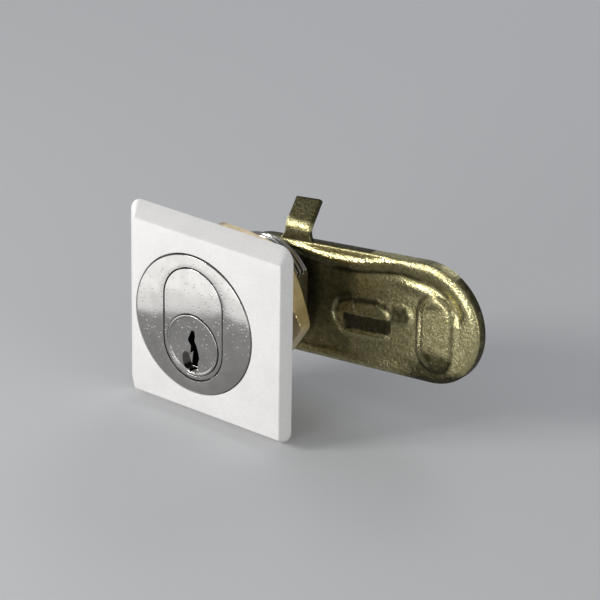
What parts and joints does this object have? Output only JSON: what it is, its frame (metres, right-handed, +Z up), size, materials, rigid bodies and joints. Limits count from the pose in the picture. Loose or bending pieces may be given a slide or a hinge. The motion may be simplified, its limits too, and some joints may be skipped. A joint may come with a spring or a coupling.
{
  "type": "enclosure lock insert",
  "caption": "Square-plated lock insert with an oval pin cylinder, a flat-sided threaded barrel, a hexagon nut and a quarter-turn pressed cam.",
  "frame": {"origin": "on the barrel axis at the back face of the plate, where it meets the panel", "axes": "+Y along the barrel into the enclosure, +Z up, +X to the right seen from the front"},
  "size_m": [0.0941, 0.0432, 0.0568],
  "materials": {
    "plate_paint": "fine powder coat, light grey",
    "rubber": "matt black",
    "housing_nickel": "satin nickel plate",
    "cylinder_nickel": "satin nickel plate, fine brushing",
    "zinc_steel": "bright zinc plate",
    "nut_brass": "machined brass",
    "pin_brass": "turned brass",
    "hard_steel": "hardened steel",
    "spring_steel": "spring steel",
    "cam_zinc": "yellow-passivated zinc on pressed steel"
  },
  "bodies": {
    "housing": {"face_plate": "plate_paint", "panel_gasket": "rubber", "flange_seal": "rubber", "lock_housing": "housing_nickel", "cylinder_body": "cylinder_nickel", "lock_washer": "zinc_steel", "hex_nut": "nut_brass", "chamber_cover": "pin_brass", "anti_drill_pins": "hard_steel", "cylinder_screws": "zinc_steel", "stop_pins": "hard_steel", "pin_spring_1": "spring_steel", "pin_spring_2": "spring_steel", "pin_spring_3": "spring_steel", "pin_spring_4": "spring_steel", "pin_spring_5": "spring_steel"},
    "cam_drive": {"cam": "cam_zinc", "spindle": "hard_steel", "stop_disc": "zinc_steel", "cam_washer": "zinc_steel", "spring_washer": "zinc_steel", "cam_screw": "zinc_steel"},
    "plug_body": {"plug": "cylinder_nickel", "plug_clip": "spring_steel"},
    "key_pin_1": {"key_pin_1": "pin_brass"},
    "driver_pin_1": {"driver_pin_1": "hard_steel"},
    "key_pin_2": {"key_pin_2": "pin_brass"},
    "driver_pin_2": {"driver_pin_2": "hard_steel"},
    "key_pin_3": {"key_pin_3": "pin_brass"},
    "driver_pin_3": {"driver_pin_3": "hard_steel"},
    "key_pin_4": {"key_pin_4": "pin_brass"},
    "driver_pin_4": {"driver_pin_4": "hard_steel"},
    "key_pin_5": {"key_pin_5": "pin_brass"},
    "driver_pin_5": {"driver_pin_5": "hard_steel"}
  },
  "joints": [
    {"name": "plug_turn", "type": "hinge", "parent": "housing", "child": "plug_body", "pos_m": [0, 0, -0.006], "axis": [0, -1, 0], "range_deg": [0, 90]},
    {"name": "cam_turn", "type": "hinge", "parent": "housing", "child": "cam_drive", "pos_m": [0, 0.028, -0.006], "axis": [0, -1, 0], "range_deg": [0, 90]},
    {"name": "key_pin_1_slide", "type": "slide", "parent": "plug_body", "child": "key_pin_1", "axis": [0, 0, 1], "range_m": [-0.00162, 0]},
    {"name": "driver_pin_1_slide", "type": "slide", "parent": "housing", "child": "driver_pin_1", "axis": [0, 0, 1], "range_m": [0, 0.000675], "deforming": ["pin_spring_1"]},
    {"name": "key_pin_2_slide", "type": "slide", "parent": "plug_body", "child": "key_pin_2", "axis": [0, 0, 1], "range_m": [-0.000825, 0]},
    {"name": "driver_pin_2_slide", "type": "slide", "parent": "housing", "child": "driver_pin_2", "axis": [0, 0, 1], "range_m": [0, 0.00147], "deforming": ["pin_spring_2"]},
    {"name": "key_pin_3_slide", "type": "slide", "parent": "plug_body", "child": "key_pin_3", "axis": [0, 0, 1], "range_m": [-0.00202, 0]},
    {"name": "driver_pin_3_slide", "type": "slide", "parent": "housing", "child": "driver_pin_3", "axis": [0, 0, 1], "range_m": [0, 0.000275], "deforming": ["pin_spring_3"]},
    {"name": "key_pin_4_slide", "type": "slide", "parent": "plug_body", "child": "key_pin_4", "axis": [0, 0, 1], "range_m": [-0.00122, 0]},
    {"name": "driver_pin_4_slide", "type": "slide", "parent": "housing", "child": "driver_pin_4", "axis": [0, 0, 1], "range_m": [0, 0.00108], "deforming": ["pin_spring_4"]},
    {"name": "key_pin_5_slide", "type": "slide", "parent": "plug_body", "child": "key_pin_5", "axis": [0, 0, 1], "range_m": [-0.00153, 0]},
    {"name": "driver_pin_5_slide", "type": "slide", "parent": "housing", "child": "driver_pin_5", "axis": [0, 0, 1], "range_m": [0, 0.000775], "deforming": ["pin_spring_5"]}
  ],
  "couplings": [
    {"joint": "cam_turn", "follows": "plug_turn", "ratio": 1},
    {"joint": "key_pin_2_slide", "follows": "key_pin_1_slide", "ratio": 0.50769},
    {"joint": "driver_pin_2_slide", "follows": "driver_pin_1_slide", "ratio": 2.1852},
    {"joint": "key_pin_3_slide", "follows": "key_pin_1_slide", "ratio": 1.2462},
    {"joint": "driver_pin_3_slide", "follows": "driver_pin_1_slide", "ratio": 0.4074},
    {"joint": "key_pin_4_slide", "follows": "key_pin_1_slide", "ratio": 0.75384},
    {"joint": "driver_pin_4_slide", "follows": "driver_pin_1_slide", "ratio": 1.5926},
    {"joint": "key_pin_5_slide", "follows": "key_pin_1_slide", "ratio": 0.93846},
    {"joint": "driver_pin_5_slide", "follows": "driver_pin_1_slide", "ratio": 1.1481}
  ]
}
